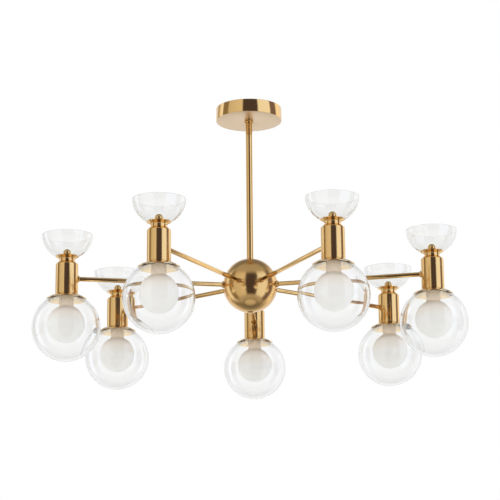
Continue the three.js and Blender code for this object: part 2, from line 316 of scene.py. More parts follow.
def bar(radius: float, start: Vector, end: Vector, facets: int) -> Piece:
    """A plain cylinder between two points, used as a cutter or as a start for a piece.

    Args:
        radius: its radius, or the distance to a corner of a prism.
        start: one end.
        end: the other end.
        facets: number of sides.

    Returns:
        The cylinder.
    """
    deselect()
    along = end - start
    bpy.ops.mesh.primitive_cylinder_add(
        vertices=facets, radius=radius, depth=along.length, location=(start + end) / 2,
        rotation=along.to_track_quat("Z", "Y").to_euler())
    return bpy.context.object


def settle(piece: Piece, matrix: Matrix = Matrix.Identity(4)) -> Piece:
    """Moves a piece by a matrix and puts its whole place into its mesh.

    Args:
        piece: the piece.
        matrix: where it goes.

    Returns:
        The piece, with its object at the origin.
    """
    piece.matrix_world = matrix @ piece.matrix_world
    activate(piece)
    bpy.ops.object.transform_apply(location=True, rotation=True, scale=True)
    return piece


# --- finishes


class Nodes:
    """A small helper that adds and links shader nodes."""

    def __init__(self, tree: bpy.types.NodeTree) -> None:
        """Starts with an empty tree."""
        self.tree = tree
        tree.nodes.clear()

    def feed(self, node: bpy.types.Node, inputs: dict[str | int, Setting | Socket]) -> None:
        """Sets a node's sockets.

        Args:
            node: the node.
            inputs: a value, or a socket to link, for each socket's name or index.
        """
        for key, value in inputs.items():
            if isinstance(value, Socket):
                self.tree.links.new(value, node.inputs[key])
            else:
                node.inputs[key].default_value = value

    def add(self, kind: str, **settings: Setting) -> bpy.types.Node:
        """Adds a node.

        Args:
            kind: the node's type.
            **settings: its properties; a dict named inputs sets sockets by name or index.

        Returns:
            The node.
        """
        node = self.tree.nodes.new(kind)
        inputs = settings.pop("inputs", {})
        for key, value in settings.items():
            setattr(node, key, value)
        self.feed(node, inputs)
        return node

    def math(self, operation: str, *values: float | Socket) -> Socket:
        """A math node's result; each value is a number or a socket."""
        return self.add("ShaderNodeMath", operation=operation, inputs=dict(enumerate(values))).outputs[0]

    def ramp(self, factor: Socket, stops: list[tuple[float, Color]],
             interpolation: str = "LINEAR") -> Socket:
        """A color ramp.

        Args:
            factor: what it reads.
            stops: places and colors.
            interpolation: how it blends.

        Returns:
            The ramp's color.
        """
        node = self.add("ShaderNodeValToRGB", inputs={0: factor})
        ramp = node.color_ramp
        ramp.interpolation = interpolation
        while len(ramp.elements) < len(stops):
            ramp.elements.new(1.0)
        for element, (place, color) in zip(ramp.elements, stops):
            element.position = place
            element.color = (*color, 1.0)
        return node.outputs[0]

    def noise(self, vector: Socket, scale: float, detail: float) -> Socket:
        """A noise texture's value."""
        return self.add("ShaderNodeTexNoise",
                        inputs={"Vector": vector, "Scale": scale, "Detail": detail}).outputs[0]

    def bump(self, height: Socket, strength: float, distance: float) -> Socket:
        """A bumped normal."""
        return self.add("ShaderNodeBump", inputs={
            "Height": height, "Strength": strength, "Distance": distance}).outputs[0]

    def mapped(self, scale: Color = (1.0, 1.0, 1.0)) -> Socket:
        """Object coordinates, stretched along each axis."""
        place = self.add("ShaderNodeTexCoord").outputs["Object"]
        return self.add("ShaderNodeMapping", inputs={"Vector": place, "Scale": scale}).outputs[0]


def grey(value: float) -> Color:
    """A neutral color."""
    return (value, value, value)


def new_material(name: str) -> tuple[bpy.types.Material, Nodes, bpy.types.Node]:
    """An empty node material.

    Args:
        name: its name.

    Returns:
        The material, its nodes and its principled shader, already linked to the output.
    """
    material = bpy.data.materials.new(name)
    material.use_nodes = True
    nodes = Nodes(material.node_tree)
    shader = nodes.add("ShaderNodeBsdfPrincipled")
    nodes.add("ShaderNodeOutputMaterial", inputs={"Surface": shader.outputs[0]})
    return material, nodes, shader


@dataclass(frozen=True)
class Metal:
    """Polished, satin or plated metal with fine working lines and a little tone variation."""

    name: str
    color: Color
    tone: Color
    roughness: float
    spread: float
    lines: Color = (60.0, 60.0, 60.0)
    line_height: float = 0.02
    slot: str = "polished_brass"

    def build(self) -> bpy.types.Material:
        """Makes the material.

        Returns:
            The material.
        """
        material, nodes, shader = new_material(self.name)
        cloud = nodes.noise(nodes.mapped(), 22.0, 3.0)
        tint = nodes.ramp(cloud, [(0.3, self.tone), (0.7, self.color)])
        lines = nodes.noise(nodes.mapped(self.lines), 12.0, 4.0)
        low, high = self.roughness - self.spread, self.roughness + self.spread
        rough = nodes.add("ShaderNodeMapRange", inputs={0: lines, 1: 0.3, 2: 0.7, 3: low, 4: high})
        nodes.feed(shader, {"Metallic": 1.0, "Base Color": tint, "Roughness": rough.outputs[0],
                            "Normal": nodes.bump(lines, self.line_height, 0.4 * MM)})
        return material


@dataclass(frozen=True)
class ClearGlass:
    """Clear blown glass with a faint waviness, and painted shade that greys it towards its silhouette."""

    name: str
    center: Color
    painted_edge_grey: Color
    slot: str = "clear_glass"
    ior: float = 1.45

    def build(self) -> bpy.types.Material:
        """Makes the material.

        Returns:
            The material.
        """
        material, nodes, shader = new_material(self.name)
        facing = nodes.add("ShaderNodeLayerWeight", inputs={"Blend": 0.35}).outputs["Facing"]
        # Painted shade: the glass is tinted greyer where it turns away from view, standing in for its dark
        # edges.
        tint = nodes.ramp(facing, [(0.35, self.center), (1.0, self.painted_edge_grey)])
        wave = nodes.noise(nodes.mapped(), 18.0, 1.0)
        nodes.feed(shader, {"Base Color": tint, "Normal": nodes.bump(wave, 0.05, 1.0 * MM),
                            "Roughness": 0.0, "IOR": self.ior, "Transmission Weight": 1.0})
        return material


@dataclass(frozen=True)
class FrostedGlass:
    """White etched glass that lets some light through; its neck starts at a share of its height."""

    name: str = "frosted_glass"
    slot: str = "frosted_glass"
    white: Color = (0.97, 0.962, 0.94)
    shade: Color = (0.95, 0.94, 0.915)
    painted_warm_shade: Color = (0.96, 0.87, 0.78)
    # Painted light: colour of the faint glow painted on the neck.
    lit: Color = (0.12, 0.09, 0.05)
    neck: float = 0.74
    roughness: float = 0.5
    ior: float = 1.3
    transmission: float = 0.12

    def build(self) -> bpy.types.Material:
        """Makes the material, with painted light: a painted warm shade from the brass cap above on the neck
        and the top of the ball, and a painted glow on the neck.

        Returns:
            The material.
        """
        material, nodes, shader = new_material(self.name)
        cloud = nodes.noise(nodes.mapped(), 30.0, 3.0)
        white = nodes.ramp(cloud, [(0.35, self.shade), (0.65, self.white)])
        low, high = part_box("frosted_diffuser_1")
        rise = nodes.add("ShaderNodeSeparateXYZ", inputs={0: nodes.mapped()}).outputs[2]
        level = nodes.add("ShaderNodeMapRange", inputs={0: rise, 1: low.z, 2: high.z}).outputs[0]
        # Painted shade: the neck and top of the ball are tinted warm and darker, standing in for light off
        # the brass cap above.
        painted_cap_shade = nodes.ramp(level, [(self.neck / 2, grey(1.0)), (self.neck - 0.06, self.painted_warm_shade)])
        tint = nodes.add("ShaderNodeMix", data_type="RGBA", blend_type="MULTIPLY",
                         inputs={0: 1.0, 6: white, 7: painted_cap_shade}).outputs[2]
        # Painted light: the neck glows faintly to look brighter, though no lamp is lit.
        painted_glow = nodes.ramp(level, [(self.neck - 0.04, grey(0.0)), (self.neck + 0.02, self.lit)])
        grain = nodes.noise(nodes.mapped(), 2600.0, 2.0)
        nodes.feed(shader, {
            "Base Color": tint, "Emission Color": painted_glow, "Emission Strength": 1.0,
            "Normal": nodes.bump(grain, 0.12, 0.2 * MM), "Roughness": self.roughness,
            "IOR": self.ior, "Transmission Weight": self.transmission})
        return material


@dataclass(frozen=True)
class Matte:
    """Ceramic, silicone or moulded plastic with a fine grain; a set glow is painted light."""

    name: str
    color: Color
    slot: str = "terminal_ceramic"
    roughness: float = 0.5
    painted_glow: float = 0.0

    def build(self) -> bpy.types.Material:
        """Makes the material.

        Returns:
            The material.
        """
        material, nodes, shader = new_material(self.name)
        grain = nodes.noise(nodes.mapped(), 900.0, 3.0)
        darker = tuple(0.93 * channel for channel in self.color)
        tint = nodes.ramp(grain, [(0.35, darker), (0.65, self.color)])
        nodes.feed(shader, {"Base Color": tint, "Normal": nodes.bump(grain, 0.08, 0.2 * MM),
                            "Roughness": self.roughness})
        # A glow here is painted light, not a lit lamp.
        if self.painted_glow:
            nodes.feed(shader, {"Emission Color": (*self.color, 1.0), "Emission Strength": self.painted_glow})
        return material


Finish = Metal | ClearGlass | FrostedGlass | Matte
BRASS: Color = (0.83, 0.54, 0.225)
BRASS_TONE: Color = (0.80, 0.51, 0.20)
POLISHED = Metal("brass_polished", BRASS, BRASS_TONE, 0.10, 0.03)
TURNED = Metal("brass_turned", BRASS, BRASS_TONE, 0.13, 0.03, lines=(2.0, 2.0, 260.0),
               line_height=0.05, slot="cup_brass")
SATIN_BALL = Metal("brass_satin_ball", (0.78, 0.49, 0.19), (0.75, 0.465, 0.175), 0.17, 0.03,
                   lines=(5.0, 5.0, 160.0), line_height=0.05, slot="satin_brass")
SATIN_PLATE = Metal("brass_satin_plate", (0.87, 0.68, 0.47), (0.85, 0.66, 0.45), 0.38, 0.05,
                    lines=(120.0, 120.0, 120.0), line_height=0.06, slot="canopy_brass")
CANOPY_RIM = Metal("brass_canopy_rim", BRASS, BRASS_TONE, 0.09, 0.02, lines=(2.0, 2.0, 200.0),
                   slot="canopy_brass")
CAP_BRASS = Metal("brass_shade_cap", (0.84, 0.66, 0.42), (0.82, 0.63, 0.39), 0.15, 0.03,
                  slot="cup_brass")
PLAIN_BRASS = Metal("brass_plain", (0.72, 0.50, 0.24), (0.68, 0.46, 0.21), 0.35, 0.08,
                    line_height=0.1, slot="plain_brass")
ZINC = Metal("zinc_plated_steel", (0.66, 0.67, 0.69), (0.58, 0.60, 0.63), 0.36, 0.08,
             line_height=0.1, slot="zinc_steel")
# The second colour of each clear glass is painted shade at its silhouette.
GLOBE_GLASS = ClearGlass("clear_globe_glass", (0.992, 0.994, 0.990), (0.86, 0.865, 0.86))
BOWL_GLASS = ClearGlass("clear_bowl_glass", (0.965, 0.965, 0.955), (0.80, 0.80, 0.79))
FROSTED = FrostedGlass()
CERAMIC = Matte("white_ceramic", (0.86, 0.85, 0.81))
SILICONE = Matte("silicone_washer", (0.90, 0.90, 0.88), slot="frosted_glass", roughness=0.35)
# Painted light: the bulb glows though the lamp is off, brightening the frosted glass from inside.
BULB = Matte("bulb_glass", (0.95, 0.72, 0.42), slot="frosted_glass", roughness=0.3, painted_glow=0.25)
FINISHES = (POLISHED, TURNED, SATIN_BALL, SATIN_PLATE, CANOPY_RIM, CAP_BRASS, PLAIN_BRASS, ZINC,
            GLOBE_GLASS, BOWL_GLASS, FROSTED, CERAMIC, SILICONE, BULB)


class Paint:
    """Makes each finish's material once and dresses pieces with it."""

    def __init__(self) -> None:
        """Builds every material."""
        self.materials = {finish.name: finish.build() for finish in FINISHES}

    def dress(self, piece: Piece, finish: Finish) -> None:
        """Gives a whole piece one finish."""
        piece.data.materials.clear()
        piece.data.materials.append(self.materials[finish.name])

    def patch(self, piece: Piece, finish: Finish, test: Test) -> None:
        """Gives some faces of a dressed piece another finish.

        Args:
            piece: the piece.
            finish: the other finish.
            test: takes a face's centre and normal and says whether it gets the finish.
        """
        piece.data.materials.append(self.materials[finish.name])
        activate(piece)
        bpy.ops.object.mode_set(mode="EDIT")
        select_where(piece, test, mode="FACE")
        piece.active_material_index = len(piece.data.materials) - 1
        bpy.ops.object.material_slot_assign()
        bpy.ops.object.mode_set(mode="OBJECT")


# --- places


@dataclass(frozen=True)
class Place:
    """Where one lamp stands."""

    number: int
    matrix: Matrix


@dataclass(frozen=True)
class Layout:
    """Levels and places that the frame gives."""

    arm_height: float
    reach: float
    places: tuple[Place, ...]

    def low(self, stem: str) -> float:
        """Lowest height of a lamp's node, from the arm's axis."""
        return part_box(f"{stem}_1")[0].z - self.arm_height

    def high(self, stem: str) -> float:
        """Greatest height of a lamp's node, from the arm's axis."""
        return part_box(f"{stem}_1")[1].z - self.arm_height

    @classmethod
    def read(cls) -> "Layout":
        """Reads the lamps' axes and the arms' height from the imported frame.

        Returns:
            The layout.
        """
        low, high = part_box("arm_1")
        arm_height = (low.z + high.z) / 2
        places = []
        reach = 0.0
        for joint in frame["joints"]:
            child = joint["child"]
            if not child.startswith(Body.SHADE.value):
                continue
            x, y, _ = joint["pos_m"]
            reach = math.hypot(x, y)
            matrix = Matrix.Translation((x, y, arm_height)) @ Matrix.Rotation(math.atan2(y, x), 4, "Z")
            places.append(Place(int(child.rsplit("_", 1)[1]), matrix))
        return cls(arm_height, reach, tuple(places))


@dataclass
class Assembly:
    """Base of the sub-assemblies: it finishes, copies and reports their pieces."""

    layout: Layout
    paint: Paint

    def fit(self, piece: Piece, finish: Finish, body: str, *nodes: str) -> None:
        """Makes a piece part of the light.

        Args:
            piece: the piece, in place.
            finish: its finish.
            body: the rigid body it rides on.
            *nodes: the frame's nodes it stands for.
        """
        settle(piece)
        if not piece.data.materials:
            self.paint.dress(piece, finish)
        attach(piece, body)
        if nodes:
            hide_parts(*nodes)
        LOG.info("%s: %d faces, rides on %s", piece.name, len(piece.data.polygons), body)

    def fit_lamps(self, pattern: Piece, finish: Finish, body: Body, *stems: str) -> None:
        """Copies a lamp's piece to every lamp.

        Args:
            pattern: the piece modelled about the lamp's own axis; its name is the copies' stem.
            finish: its finish.
            body: the kind of body that it rides on.
            *stems: names, without numbers, of the frame's nodes it stands for.
        """
        settle(pattern)
        stem = pattern.name
        pattern.name = stem + "_pattern"
        for place in self.layout.places:
            copy = pattern.copy()
            copy.data = pattern.data.copy()
            copy.name = copy.data.name = f"{stem}_{place.number}"
            bpy.context.collection.objects.link(copy)
            settle(copy, place.matrix)
            nodes = [f"{node}_{place.number}" for node in stems]
            self.fit(copy, finish, body.of(place.number), *nodes)
        bpy.data.objects.remove(pattern)


# --- ceiling end


@dataclass
class CeilingEnd(Assembly):
    """Canopy, collar, hanging bracket, nuts and terminal block."""

    canopy_radius: float = 60 * MM
    canopy_wall: float = 1.5 * MM
    rod_hole: float = 6.35 * MM
    collar_wall: float = 1.4 * MM
    grub_radius: float = 1.1 * MM
    sheet: float = 2 * MM
    pad: float = 20 * MM
    slot_width: float = 4.5 * MM
    slot_length: float = 12 * MM
    slot_spacing: float = 80 * MM
    thread_radius: float = 4.8 * MM
    well_radius: float = 1.9 * MM
    well_depth: float = 3.5 * MM
    terminal_head: float = 1.6 * MM
    facets: int = 128

    def canopy(self) -> None:
        """Shallow round dish, open to the ceiling."""
        low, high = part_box("canopy_cover")
        inner = self.canopy_radius - self.canopy_wall
        floor = low.z + self.canopy_wall
        round_in = 2 * MM
        outline = [
            (self.rod_hole, low.z),
            (self.canopy_radius, low.z),
            (self.canopy_radius, high.z),
            (inner, high.z),
            *ease((inner, floor + round_in), (inner, floor), (inner - round_in, floor), 4),
            (self.rod_hole, floor),
        ]
        piece = turn("canopy_dish", outline, self.facets)
        soften(piece, 0.6 * MM)
        self.paint.dress(piece, CANOPY_RIM)
        underside = low.z + 0.1 * MM
        self.paint.patch(piece, SATIN_PLATE,
                         lambda centre, normal: normal.z < -0.9 and centre.z < underside)
        self.fit(piece, CANOPY_RIM, Body.CANOPY.value, "canopy_cover")

    def collar(self) -> None:
        """Ring under the canopy with the grub screw that grips the rod."""
        low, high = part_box("canopy_collar")
        outer = self.rod_hole + self.collar_wall
        piece = tube("canopy_grip_ring", (self.rod_hole, outer), (low.z, high.z), 64)
        middle = (low.z + high.z) / 2
        start = Vector((0, self.rod_hole - 1 * MM, middle))
        end = Vector((0, outer + 1 * MM, middle))
        drill(piece, bar(self.grub_radius + 0.1 * MM, start, end, 24))
        soften(piece, 0.35 * MM)
        self.fit(piece, POLISHED, Body.CANOPY.value, "canopy_collar")
        screw = bar(self.grub_radius, Vector((0, self.rod_hole, middle)),
                    Vector((0, outer - 0.1 * MM, middle)), 24)
        screw.name = "grip_ring_screw"
        recess = bar(self.grub_radius * 0.55, Vector((0, outer - 0.8 * MM, middle)), end, 6)
        drill(screw, recess)
        soften(screw, 0.1 * MM, 2)
        self.fit(screw, ZINC, Body.CANOPY.value)

    def bracket(self) -> None:
        """Hat-shaped strap bent from sheet, with two screw slots and the rod's hole."""
        low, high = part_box("ceiling_bracket")
        half_length, half_width = high.x, high.y
        web = half_length - self.pad - self.sheet
        strip = low.z + self.sheet
        deselect()
        bpy.ops.mesh.primitive_plane_add(size=1)
        piece = bpy.context.object
        piece.name = "bracket_strap"
        bpy.ops.object.mode_set(mode="EDIT")
        select_where(piece, lambda co: co.x > 0)
        bpy.ops.mesh.delete(type="VERT")
        bpy.ops.mesh.select_all(action="SELECT")
        bpy.ops.transform.resize(value=(1, 2 * half_width, 1), center_override=(0, 0, 0))
        bpy.ops.transform.translate(value=(0.5 - half_length, 0, high.z))
        drop = strip - high.z
        for step in ((self.pad, 0, 0), (0, 0, drop), (2 * (web + self.sheet), 0, 0),
                     (0, 0, -drop), (self.pad, 0, 0)):
            bpy.ops.mesh.extrude_region_move(TRANSFORM_OT_translate={"value": step})
        bpy.ops.mesh.select_all(action="SELECT")
        bpy.ops.mesh.normals_make_consistent(inside=False)
        bpy.ops.object.mode_set(mode="OBJECT")
        apply_modifier(piece, "SOLIDIFY", thickness=self.sheet, offset=-1.0, use_even_offset=True)
        piece_top = max(vertex.co.z for vertex in piece.data.vertices)
        if piece_top > high.z + self.sheet / 2:
            settle(piece, Matrix.Translation((0, 0, high.z - piece_top)))
        margin = up(3 * self.sheet)
        for side in (-1, 1):
            for shift in (-1, 0, 1):
                across = side * self.slot_spacing / 2
                across += shift * (self.slot_length - self.slot_width) / 2
                middle = Vector((across, 0, high.z))
                drill(piece, bar(self.slot_width / 2, middle - margin, middle + margin, 32))
        middle = up(low.z)
        drill(piece, bar(self.thread_radius + 0.4 * MM, middle - margin, middle + margin, 48))
        soften(piece, 0.4 * MM, 2)
        self.fit(piece, ZINC, Body.FIXTURE.value, "ceiling_bracket")

    def nut(self, node: str, name: str) -> None:
        """Hexagon nut on the rod's upper thread.

        Args:
            node: the frame's node that it stands for.
            name: the piece's name.
        """
        low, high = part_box(node)
        corner = high.y
        piece = bar(corner, up(low.z), up(high.z), 6)
        piece.name = name
        margin = up(2 * MM)
        drill(piece, bar(self.thread_radius + 0.2 * MM, up(low.z) - margin,
                         up(high.z) + margin, 48))
        soften(piece, 0.45 * MM, 2)
        self.fit(piece, ZINC, Body.FIXTURE.value, node)

    def terminal(self) -> None:
        """Moulded block with two rows of clamping screws in wells."""
        low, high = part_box("terminal_block")
        middle = (low + high) / 2
        size = high - low
        deselect()
        bpy.ops.mesh.primitive_cube_add(size=1, location=middle, scale=size)
        piece = bpy.context.object
        piece.name = "terminal_housing"
        spots = [Vector((middle.x + dx * size.x, middle.y + dy * size.y, low.z))
                 for dx in (-0.26, 0.26) for dy in (-0.31, 0.0, 0.31)]
        depth, head = up(self.well_depth), self.terminal_head
        for spot in spots:
            drill(piece, bar(self.well_radius, spot - depth, spot + depth, 24))
        soften(piece, 0.5 * MM, 2)
        self.fit(piece, CERAMIC, Body.FIXTURE.value, "terminal_block")
        for index, spot in enumerate(spots, 1):
            screw = bar(head, spot + depth * 0.35, spot + depth * 0.95, 24)
            screw.name = f"terminal_screw_{index}"
            deselect()
            bpy.ops.mesh.primitive_cube_add(size=1, location=spot + depth * 0.35,
                                            scale=(2.4 * head, 0.35 * head, 1.0 * MM))
            drill(screw, bpy.context.object)
            soften(screw, 0.12 * MM, 2)
            self.fit(screw, ZINC, Body.FIXTURE.value)

    def build(self) -> None:
        """Makes every piece of the ceiling end."""
        self.canopy()
        self.collar()
        self.bracket()
        self.nut("rod_nut_upper", "hanging_nut_upper")
        self.nut("rod_nut_lower", "hanging_nut_lower")
        self.terminal()


# --- downrod and hub


@dataclass
class RodAndHub(Assembly):
    """Downrod, ball shells, core and the screw under the ball."""

    rod_radius: float = 6 * MM
    thread_radius: float = 4.8 * MM
    bore_radius: float = 3 * MM
    thread_length: float = 9.8 * MM
    hub_radius: float = 49 * MM
    hub_wall: float = 1.5 * MM
    seam: float = 0.06 * MM
    arm_hole: float = 4.4 * MM
    screw_radius: float = 2.4 * MM
    screw_head: float = 6 * MM
    head_gap: float = 0.05 * MM
    hole_gap: float = 0.3 * MM
    socket_radius: float = 1.8 * MM
    facets: int = 160

    def rod(self) -> None:
        """Tube with a thread turned on each end."""
        low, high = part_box("downrod")
        shoulder = self.layout.arm_height + self.hub_radius + self.head_gap
        upper = high.z - self.thread_length
        outline = [
            (self.bore_radius, low.z),
            (self.thread_radius, low.z),
            (self.thread_radius, shoulder),
            (self.rod_radius, shoulder),
            (self.rod_radius, upper),
            (self.thread_radius, upper),
            (self.thread_radius, high.z),
            (self.bore_radius, high.z),
        ]
        piece = turn("rod_tube", outline, 64)
        soften(piece, 0.3 * MM)
        self.fit(piece, POLISHED, Body.FIXTURE.value, "downrod")

    def shell(self, name: str, node: str, upper: bool, hole: float) -> None:
        """Half of the ball, with round notches for the arms.

        Args:
            name: the piece's name.
            node: the frame's node that it stands for.
            upper: whether it is the upper half.
            hole: radius of the hole at its pole.
        """
        centre = self.layout.arm_height
        outer, inner = self.hub_radius, self.hub_radius - self.hub_wall
        rim = 90.0 + math.degrees(self.seam / outer) * (1 if upper else -1)
        outside = arc(centre, outer, rim, angle_at(outer, hole, upper), 36)
        inside = arc(centre, inner, angle_at(inner, hole, upper), rim, 24)
        piece = turn(name, outside + inside, self.facets)
        for place in self.layout.places:
            toward = place.matrix.to_3x3() @ Vector((1, 0, 0))
            start = up(centre) + toward * inner * 0.8
            drill(piece, bar(self.arm_hole, start, start + toward * outer * 0.4, 32))
        soften(piece, 0.12 * MM, 2, angle=50.0)
        self.fit(piece, SATIN_BALL, Body.FIXTURE.value, node)

    def screw(self) -> None:
        """Domed screw that holds the lower shell up."""
        low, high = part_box("hub_screw")
        under_head = self.layout.arm_height - self.hub_radius - self.head_gap
        outline = [
            (0.0, low.z),
            *ease((0.5 * MM, low.z), (self.screw_head * 0.8, low.z), (self.screw_head, under_head), 8),
            (self.screw_radius, under_head),
            (self.screw_radius, high.z),
            (0.0, high.z),
        ]
        piece = turn("hub_pole_screw", outline, 48)
        socket = up(low.z)
        drill(piece, bar(self.socket_radius, socket - up(1 * MM), socket + up(1.2 * MM), 6))
        soften(piece, 0.12 * MM, 2)
        self.fit(piece, POLISHED, Body.FIXTURE.value, "hub_screw")

    def build(self) -> None:
        """Makes the rod and the hub, and dresses the hidden core."""
        self.rod()
        self.shell("ball_shell_upper", "hub_upper_shell", True, self.thread_radius + self.hole_gap)
        self.shell("ball_shell_lower", "hub_lower_shell", False, self.screw_radius + self.hole_gap)
        self.screw()
        self.paint.dress(frame["nodes"]["hub_core"], PLAIN_BRASS)


# --- arms


@dataclass
class Arms(Assembly):
    """Straight tubes with a ring at each end."""

    radius: float = 4 * MM
    bore: float = 2.4 * MM
    ring_radius: float = 6 * MM
    ring_length: float = 3 * MM
    hub_radius: float = 49 * MM
    cup_radius: float = 20 * MM
    start: float = 16.3 * MM
    into_cup: float = 3.5 * MM
    slack: float = 0.03 * MM
    ring_gap: float = 0.02 * MM

    def along(self, piece: Piece) -> Piece:
        """Lays a piece that was turned about Z along the arm, with the hub's axis at its height 0."""
        lay = Matrix.Translation((-self.layout.reach, 0, 0)) @ Matrix.Rotation(math.pi / 2, 4, "Y")
        return settle(piece, lay)

    def ring(self, name: str, low: float) -> Piece:
        """A collar ring round the tube.

        Args:
            name: the piece's name.
            low: its distance from the hub's axis.

        Returns:
            The ring, in place on the lamp's arm.
        """
        hole = self.radius + self.slack
        piece = tube(name, (hole, self.ring_radius), (low, low + self.ring_length), 48)
        soften(piece, 0.4 * MM)
        return self.along(piece)

    def build(self) -> None:
        """Makes the tubes and their rings."""
        end = self.layout.reach - self.cup_radius + self.into_cup
        piece = tube("arm_tube", (self.bore, self.radius), (self.start, end), 48)
        soften(piece, 0.25 * MM, 2)
        self.fit_lamps(self.along(piece), POLISHED, Body.FIXTURE, "arm")
        sag = self.hub_radius - math.sqrt(self.hub_radius**2 - self.ring_radius**2)
        inner = self.ring("arm_ring_hub", self.hub_radius - sag + self.ring_gap)
        self.fit_lamps(inner, POLISHED, Body.FIXTURE)
        sag = self.cup_radius - math.sqrt(self.cup_radius**2 - self.ring_radius**2)
        outer_low = self.layout.reach - self.cup_radius + sag - self.ring_length - self.ring_gap
        self.fit_lamps(self.ring("arm_ring_cup", outer_low), POLISHED, Body.FIXTURE)


# --- lamp cups


@dataclass
class Cups(Assembly):
    """Turned cup, domed shade cap, lampholder and bulb of each lamp."""

    radius: float = 20 * MM
    wall: float = 1.5 * MM
    shoulder_height: float = 5 * MM
    top_radius: float = 14.7 * MM
    stud_hole: float = 2.9 * MM
    arm_hole: float = 4.3 * MM
    cap_radius: float = 35 * MM
    cap_wall: float = 1.2 * MM
    cap_over_globe: float = 1.2 * MM
    holder_hole: float = 14 * MM
    holder_radius: float = 10.2 * MM
    holder_low: float = -46 * MM
    holder_high: float = -8 * MM
    flange_level: float = -23 * MM
    flange_half: float = 3 * MM
    contact_hole: float = 1.1 * MM
    contact_spread: float = 2.5 * MM
    bulb_radius: float = 6.5 * MM
    bulb_neck: float = 4.5 * MM
    bulb_low: float = -96 * MM
    bulb_gap: float = 0.3 * MM
    globe_radius: float = 60 * MM
    facets: int = 96

    @property
    def globe_centre(self) -> float:
        """Height of the globe's centre."""
        return self.layout.low("glass_globe") + self.globe_radius

    def cup(self) -> None:
        """Hollow cylinder with a sloping shoulder."""
        outer_dome = self.globe_radius + self.cap_over_globe + self.cap_wall
        bottom = dome_height(self.globe_centre, outer_dome, self.radius) + 0.15 * MM
        inner = self.radius - self.wall
        top = self.layout.high("lamp_cup")
        shoulder = top - self.shoulder_height
        turn_in = 1.4 * MM
        slope = Vector((self.top_radius - self.radius, self.shoulder_height)).normalized() * turn_in
        outline = [
            (inner, bottom),
            (self.radius, bottom),
            *ease((self.radius, shoulder - turn_in), (self.radius, shoulder),
                  (self.radius + slope.x, shoulder + slope.y), 6),
            *ease((self.top_radius - slope.x, top - slope.y), (self.top_radius, top),
                  (self.top_radius - turn_in, top), 6),
            (self.stud_hole, top),
            (self.stud_hole, top - self.wall),
            (self.top_radius - self.wall, top - self.wall),
            (inner, shoulder - self.wall),
        ]
        piece = turn("cup_body", outline, self.facets)
        drill(piece, bar(self.arm_hole, Vector((-self.radius - 2 * MM, 0, 0)), up(0), 32))
        soften(piece, 0.35 * MM, 3)
        self.fit_lamps(piece, TURNED, Body.FIXTURE, "lamp_cup")

    def cap(self) -> None:
        """Shallow dome that covers the top of the globe."""
        low_dome = self.globe_radius + self.cap_over_globe
        high_dome = low_dome + self.cap_wall
        hole = self.holder_hole
        under = arc(self.globe_centre, low_dome, angle_at(low_dome, hole, True),
                    angle_at(low_dome, self.cap_radius, True), 14)
        over = arc(self.globe_centre, high_dome, angle_at(high_dome, self.cap_radius, True),
                   angle_at(high_dome, hole, True), 14)
        piece = turn("shade_cap", under + over, self.facets)
        soften(piece, 0.35 * MM, 3, angle=45.0)
        self.fit_lamps(piece, CAP_BRASS, Body.FIXTURE)

    def holder(self) -> None:
        """Ceramic lampholder that hangs through the cap into the glass neck."""
        low, radius = self.holder_low, self.holder_radius
        flange = self.holder_hole + self.wall
        outline = [
            (0.0, low),
            (radius * 0.9, low),
            (radius, low + 1.5 * MM),
            (radius, self.flange_level - self.flange_half - 1.5 * MM),
            (flange, self.flange_level - self.flange_half),
            (flange, self.flange_level + self.flange_half),
            (radius, self.flange_level + self.flange_half + 1 * MM),
            (radius, self.holder_high),
            (0.0, self.holder_high),
        ]
        piece = turn("lampholder", outline, 48)
        for side in (-1, 1):
            spot = Vector((0, side * self.contact_spread, low))
            drill(piece, bar(self.contact_hole, spot - up(1 * MM), spot + up(8 * MM), 16))
        soften(piece, 0.3 * MM, 2)
        self.fit_lamps(piece, CERAMIC, Body.FIXTURE)

    def bulb(self) -> None:
        """Capsule bulb below the lampholder."""
        top = self.holder_low - self.bulb_gap
        radius, neck = self.bulb_radius, self.bulb_neck
        outline = [
            *arc(self.bulb_low + radius, radius, 0.0, 90.0, 8),
            (radius, top - 9 * MM),
            *ease((radius, top - 8 * MM), (radius, top - 6 * MM), (neck, top - 5 * MM), 4),
            (neck, top),
            (0.0, top),
        ]
        piece = turn("bulb_capsule", outline, 40)
        smooth(piece, 50.0)
        self.fit_lamps(piece, BULB, Body.FIXTURE)

    def build(self) -> None:
        """Makes the cups and what they carry below."""
        self.cup()
        self.cap()
        self.holder()
        self.bulb()


# --- saucer, bowl and ball nut


